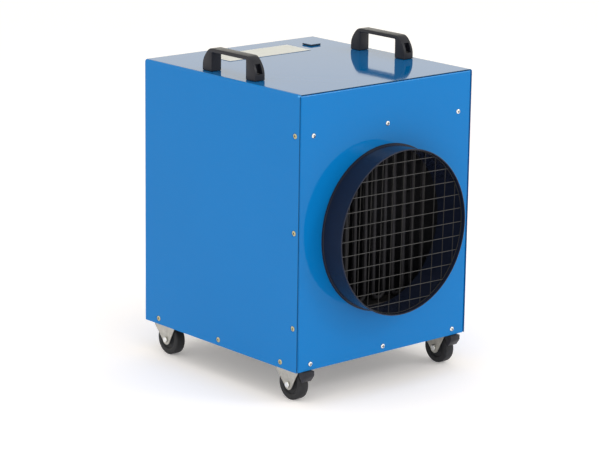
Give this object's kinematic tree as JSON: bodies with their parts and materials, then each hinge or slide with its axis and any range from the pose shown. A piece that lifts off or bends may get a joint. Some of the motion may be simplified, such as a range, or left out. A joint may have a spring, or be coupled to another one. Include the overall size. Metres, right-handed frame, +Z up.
{
  "type": "electric fan heater",
  "caption": "Wheeled electric fan heater and air mover: a folded blue steel cabinet with a round duct spigot and mesh guard, bridge handles and swivel casters.",
  "frame": {"origin": "centre of the footprint, on the floor under the casters", "axes": "+Z up; the outlet spigot faces -Y, the intake and controls face +Y; +X to the right when looking at the outlet"},
  "size_m": [0.42, 0.542, 0.6103],
  "materials": {
    "blue_powder_coat": "gloss powder coat",
    "navy_gloss_paint": "gloss paint",
    "zinc_plate": "zinc plated, satin",
    "galvanised_sheet": "galvanised, dull",
    "bright_steel": "bright",
    "plated_wire": "plated wire",
    "element_sheath": "heat-darkened sheath",
    "black_plastic": "moulded, fine grain",
    "tread_rubber": "matt",
    "grey_plastic": "moulded",
    "motor_paint": "satin",
    "red_plastic": "moulded, satin",
    "amber_lens": "clear moulded",
    "green_lens": "clear moulded",
    "blank_label": "printed film, blank"
  },
  "bodies": {
    "cabinet": {"base_tray": "blue_powder_coat", "blank_label": "blank_label", "caster_plate_front_left": "zinc_plate", "caster_plate_front_right": "zinc_plate", "caster_plate_rear_left": "zinc_plate", "caster_plate_rear_right": "zinc_plate", "contactor": "grey_plastic", "control_plate": "black_plastic", "divider_shelf": "galvanised_sheet", "fan_shroud": "galvanised_sheet", "front_panel": "blue_powder_coat", "handle_left": "black_plastic", "handle_right": "black_plastic", "heater_rail_bottom": "galvanised_sheet", "heater_rail_top": "galvanised_sheet", "heating_element_1": "element_sheath", "heating_element_2": "element_sheath", "heating_element_3": "element_sheath", "heating_element_4": "element_sheath", "heating_element_5": "element_sheath", "heating_element_6": "element_sheath", "inlet_housing": "red_plastic", "inlet_pins": "black_plastic", "intake_guard": "plated_wire", "lamp_heat": "green_lens", "lamp_power": "amber_lens", "motor_body": "motor_paint", "motor_bracket": "zinc_plate", "outlet_guard": "plated_wire", "outlet_spigot": "navy_gloss_paint", "overheat_thermostat": "black_plastic", "rear_panel": "blue_powder_coat", "reset_bezel": "bright_steel", "selector_switch": "grey_plastic", "terminal_block": "grey_plastic", "thermostat_switch": "grey_plastic", "top_plug": "black_plastic", "wrap_cover": "blue_powder_coat"},
    "fan": {"impeller": "grey_plastic", "motor_shaft": "bright_steel"},
    "swivel_front_left": {"caster_fork_front_left": "zinc_plate", "caster_bolt_front_left": "zinc_plate"},
    "wheel_front_left": {"caster_wheel_front_left": "tread_rubber"},
    "brake_front_left": {"brake_pedal_front_left": "black_plastic"},
    "swivel_front_right": {"caster_fork_front_right": "zinc_plate", "caster_bolt_front_right": "zinc_plate"},
    "wheel_front_right": {"caster_wheel_front_right": "tread_rubber"},
    "brake_front_right": {"brake_pedal_front_right": "black_plastic"},
    "swivel_rear_left": {"caster_fork_rear_left": "zinc_plate", "caster_bolt_rear_left": "zinc_plate"},
    "wheel_rear_left": {"caster_wheel_rear_left": "tread_rubber"},
    "swivel_rear_right": {"caster_fork_rear_right": "zinc_plate", "caster_bolt_rear_right": "zinc_plate"},
    "wheel_rear_right": {"caster_wheel_rear_right": "tread_rubber"},
    "selector": {"selector_knob": "black_plastic"},
    "thermostat": {"thermostat_knob": "black_plastic"},
    "reset": {"reset_button": "red_plastic"},
    "lid": {"inlet_lid": "red_plastic"}
  },
  "joints": [
    {"name": "fan_spin", "type": "hinge", "parent": "cabinet", "child": "fan", "pos_m": [0, 0.165, 0.2985], "axis": [0, 1, 0], "continuous": true},
    {"name": "swivel_front_left", "type": "hinge", "parent": "cabinet", "child": "swivel_front_left", "pos_m": [-0.1826, -0.1683, 0.07], "axis": [0, 0, 1], "continuous": true},
    {"name": "wheel_front_left", "type": "hinge", "parent": "swivel_front_left", "child": "wheel_front_left", "pos_m": [-0.1826, -0.1823, 0.03], "axis": [1, 0, 0], "continuous": true},
    {"name": "brake_front_left", "type": "hinge", "parent": "swivel_front_left", "child": "brake_front_left", "pos_m": [-0.1826, -0.2013, 0.059], "axis": [1, 0, 0], "range_deg": [0, 12]},
    {"name": "swivel_front_right", "type": "hinge", "parent": "cabinet", "child": "swivel_front_right", "pos_m": [0.1826, -0.1683, 0.07], "axis": [0, 0, 1], "continuous": true},
    {"name": "wheel_front_right", "type": "hinge", "parent": "swivel_front_right", "child": "wheel_front_right", "pos_m": [0.1826, -0.1823, 0.03], "axis": [1, 0, 0], "continuous": true},
    {"name": "brake_front_right", "type": "hinge", "parent": "swivel_front_right", "child": "brake_front_right", "pos_m": [0.1826, -0.2013, 0.059], "axis": [1, 0, 0], "range_deg": [0, 12]},
    {"name": "swivel_rear_left", "type": "hinge", "parent": "cabinet", "child": "swivel_rear_left", "pos_m": [-0.1826, 0.1884, 0.07], "axis": [0, 0, 1], "continuous": true},
    {"name": "wheel_rear_left", "type": "hinge", "parent": "swivel_rear_left", "child": "wheel_rear_left", "pos_m": [-0.1826, 0.1744, 0.03], "axis": [1, 0, 0], "continuous": true},
    {"name": "swivel_rear_right", "type": "hinge", "parent": "cabinet", "child": "swivel_rear_right", "pos_m": [0.1826, 0.1884, 0.07], "axis": [0, 0, 1], "continuous": true},
    {"name": "wheel_rear_right", "type": "hinge", "parent": "swivel_rear_right", "child": "wheel_rear_right", "pos_m": [0.1826, 0.1744, 0.03], "axis": [1, 0, 0], "continuous": true},
    {"name": "selector_turn", "type": "hinge", "parent": "cabinet", "child": "selector", "pos_m": [-0.03, 0.2218, 0.512], "axis": [0, 1, 0], "range_deg": [0, 135]},
    {"name": "thermostat_turn", "type": "hinge", "parent": "cabinet", "child": "thermostat", "pos_m": [0.03, 0.2218, 0.512], "axis": [0, 1, 0], "range_deg": [0, 270]},
    {"name": "reset_press", "type": "slide", "parent": "cabinet", "child": "reset", "axis": [0, -1, 0], "range_m": [0, 0.0025], "stiffness_N_per_m": 400, "springref_m": -0.001},
    {"name": "lid_open", "type": "hinge", "parent": "cabinet", "child": "lid", "pos_m": [0.118, 0.2632, 0.5455], "axis": [1, 0, 0], "range_deg": [0, 110], "stiffness_Nm_per_rad": 0.02, "springref_deg": -20.05}
  ]
}
